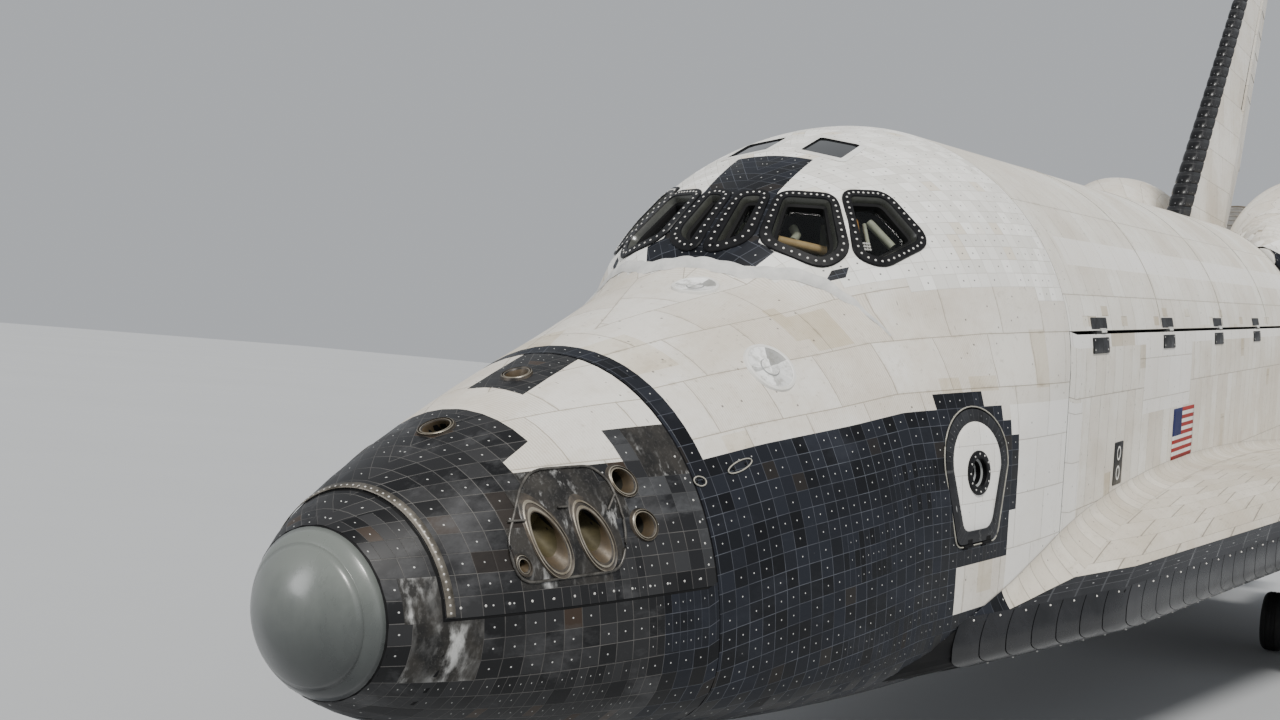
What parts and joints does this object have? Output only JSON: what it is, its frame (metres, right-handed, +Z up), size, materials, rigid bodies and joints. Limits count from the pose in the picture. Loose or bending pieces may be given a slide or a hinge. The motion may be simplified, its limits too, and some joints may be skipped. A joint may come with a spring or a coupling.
{
  "type": "space shuttle orbiter",
  "caption": "Winged reusable spaceplane on its landing gear, with cargo bay doors, a crew hatch, elevons, a split rudder and gimballed engines.",
  "frame": {"origin": "on the ground under the middle of the bounding box", "axes": "+Y from the nose to the tail, +Z up, +X to the crew's left (port)"},
  "size_m": [23.792, 36.3044, 17.2557],
  "materials": {
    "blanket": "matte",
    "tile": "satin",
    "carbon": "satin",
    "metal": "satin",
    "nozzle": "satin",
    "glass": "gloss",
    "tyre": "matte",
    "radiator": "gloss",
    "cabin": "matte"
  },
  "bodies": {
    "airframe": {"nose_cap": "carbon", "forward_thruster_module": "tile", "forward_fuselage": "blanket", "windshield_panes_left": "glass", "windshield_panes_right": "glass", "overhead_panes": "glass", "flight_deck_floor": "cabin", "instrument_panel": "cabin", "commander_seat": "cabin", "pilot_seat": "cabin", "mid_fuselage": "blanket", "wing_left": "blanket", "wing_leading_edge_left": "carbon", "wing_right": "blanket", "wing_leading_edge_right": "carbon", "aft_fuselage": "blanket", "oms_pod_left": "blanket", "oms_engine_left": "nozzle", "oms_pod_right": "blanket", "oms_engine_right": "nozzle", "vertical_fin": "blanket", "nose_gear_leg": "metal", "nose_gear_door_left": "tile", "nose_gear_door_right": "tile", "main_gear_leg_left": "metal", "main_gear_leg_right": "metal", "main_gear_door_left": "tile", "main_gear_door_right": "tile"},
    "crew_hatch": {"crew_hatch": "tile", "hatch_window": "glass"},
    "payload_door_left": {"payload_door_left": "blanket", "radiator_left": "radiator"},
    "payload_door_right": {"payload_door_right": "blanket", "radiator_right": "radiator"},
    "elevon_inboard_left": {"elevon_inboard_left": "tile"},
    "elevon_outboard_left": {"elevon_outboard_left": "tile"},
    "elevon_inboard_right": {"elevon_inboard_right": "tile"},
    "elevon_outboard_right": {"elevon_outboard_right": "tile"},
    "body_flap": {"body_flap": "tile"},
    "rudder_drum": {"rudder_drum": "tile"},
    "rudder_panel_left": {"rudder_panel_left": "blanket"},
    "rudder_panel_right": {"rudder_panel_right": "blanket"},
    "engine_upper_gimbal": {"engine_upper_gimbal": "metal"},
    "engine_upper": {"engine_upper": "nozzle"},
    "engine_left_gimbal": {"engine_left_gimbal": "metal"},
    "engine_left": {"engine_left": "nozzle"},
    "engine_right_gimbal": {"engine_right_gimbal": "metal"},
    "engine_right": {"engine_right": "nozzle"},
    "nose_gear_piston": {"nose_gear_piston": "metal"},
    "nose_wheels": {"nose_wheels": "tyre"},
    "main_wheels_left": {"main_wheels_left": "tyre"},
    "main_wheels_right": {"main_wheels_right": "tyre"}
  },
  "joints": [
    {"name": "crew_hatch_hinge", "type": "hinge", "parent": "airframe", "child": "crew_hatch", "pos_m": [2.48187, -11.48334, 3.02581], "axis": [0.142, 0.9875, 0.069], "range_deg": [0, 90]},
    {"name": "payload_door_left_hinge", "type": "hinge", "parent": "airframe", "child": "payload_door_left", "pos_m": [2.645, -0.4635, 5.82133], "axis": [0, 0.9976, 0.0698], "range_deg": [0, 175.5]},
    {"name": "payload_door_right_hinge", "type": "hinge", "parent": "airframe", "child": "payload_door_right", "pos_m": [-2.645, -0.4635, 5.82133], "axis": [0, -0.9976, -0.0698], "range_deg": [0, 175.5]},
    {"name": "elevon_inboard_left_hinge", "type": "hinge", "parent": "airframe", "child": "elevon_inboard_left", "pos_m": [5.53, 11.0274, 3.72959], "axis": [0.9996, -0.0019, 0.0277], "range_deg": [-20, 35]},
    {"name": "elevon_outboard_left_hinge", "type": "hinge", "parent": "airframe", "child": "elevon_outboard_left", "pos_m": [9.91, 11.02051, 3.82813], "axis": [0.9999, -0.0011, 0.0163], "range_deg": [-20, 35]},
    {"name": "elevon_inboard_right_hinge", "type": "hinge", "parent": "airframe", "child": "elevon_inboard_right", "pos_m": [-5.53, 11.0274, 3.72959], "axis": [0.9996, 0.0019, -0.0277], "range_deg": [-20, 35]},
    {"name": "elevon_outboard_right_hinge", "type": "hinge", "parent": "airframe", "child": "elevon_outboard_right", "pos_m": [-9.91, 11.02051, 3.82813], "axis": [0.9999, 0.0011, -0.0163], "range_deg": [-20, 35]},
    {"name": "body_flap_hinge", "type": "hinge", "parent": "airframe", "child": "body_flap", "pos_m": [0, 14.72813, 3.60464], "axis": [1, 0, 0], "range_deg": [-22.55, 11.7]},
    {"name": "rudder_hinge", "type": "hinge", "parent": "airframe", "child": "rudder_drum", "pos_m": [0, 15.25051, 14.51967], "axis": [0, 0.5198, 0.8543], "range_deg": [-27.1, 27.1]},
    {"name": "speedbrake_left_hinge", "type": "hinge", "parent": "rudder_drum", "child": "rudder_panel_left", "pos_m": [0, 15.25051, 14.51967], "axis": [0, -0.5198, -0.8543], "range_deg": [0, 49.3]},
    {"name": "speedbrake_right_hinge", "type": "hinge", "parent": "rudder_drum", "child": "rudder_panel_right", "pos_m": [0, 15.25051, 14.51967], "axis": [0, 0.5198, 0.8543], "range_deg": [0, 49.3]},
    {"name": "engine_upper_pitch", "type": "hinge", "parent": "airframe", "child": "engine_upper_gimbal", "pos_m": [0, 12.25111, 7.34597], "axis": [1, 0, 0], "range_deg": [-10.5, 10.5]},
    {"name": "engine_upper_yaw", "type": "hinge", "parent": "engine_upper_gimbal", "child": "engine_upper", "pos_m": [0, 12.25111, 7.34597], "axis": [0, -0.342, 0.9397], "range_deg": [-8.5, 8.5]},
    {"name": "engine_left_pitch", "type": "hinge", "parent": "airframe", "child": "engine_left_gimbal", "pos_m": [1.346, 13.01549, 4.84419], "axis": [1, 0, 0], "range_deg": [-10.5, 10.5]},
    {"name": "engine_left_yaw", "type": "hinge", "parent": "engine_left_gimbal", "child": "engine_left", "pos_m": [1.346, 13.01549, 4.84419], "axis": [0, -0.2419, 0.9703], "range_deg": [-8.5, 8.5]},
    {"name": "engine_right_pitch", "type": "hinge", "parent": "airframe", "child": "engine_right_gimbal", "pos_m": [-1.346, 13.01549, 4.84419], "axis": [1, 0, 0], "range_deg": [-10.5, 10.5]},
    {"name": "engine_right_yaw", "type": "hinge", "parent": "engine_right_gimbal", "child": "engine_right", "pos_m": [-1.346, 13.01549, 4.84419], "axis": [0, -0.2419, 0.9703], "range_deg": [-8.5, 8.5]},
    {"name": "nose_steering", "type": "hinge", "parent": "airframe", "child": "nose_gear_piston", "pos_m": [0, -14.45677, 0.40501], "axis": [0, -0.0698, 0.9976], "range_deg": [-10, 10]},
    {"name": "nose_wheels_spin", "type": "hinge", "parent": "nose_gear_piston", "child": "nose_wheels", "pos_m": [0, -14.45677, 0.40501], "axis": [1, 0, 0], "continuous": true},
    {"name": "main_wheels_left_spin", "type": "hinge", "parent": "airframe", "child": "main_wheels_left", "pos_m": [3.454, 5.77445, 0.56366], "axis": [1, 0, 0], "continuous": true},
    {"name": "main_wheels_right_spin", "type": "hinge", "parent": "airframe", "child": "main_wheels_right", "pos_m": [-3.454, 5.77445, 0.56366], "axis": [1, 0, 0], "continuous": true}
  ],
  "couplings": [
    {"joint": "speedbrake_right_hinge", "follows": "speedbrake_left_hinge", "ratio": 1}
  ]
}
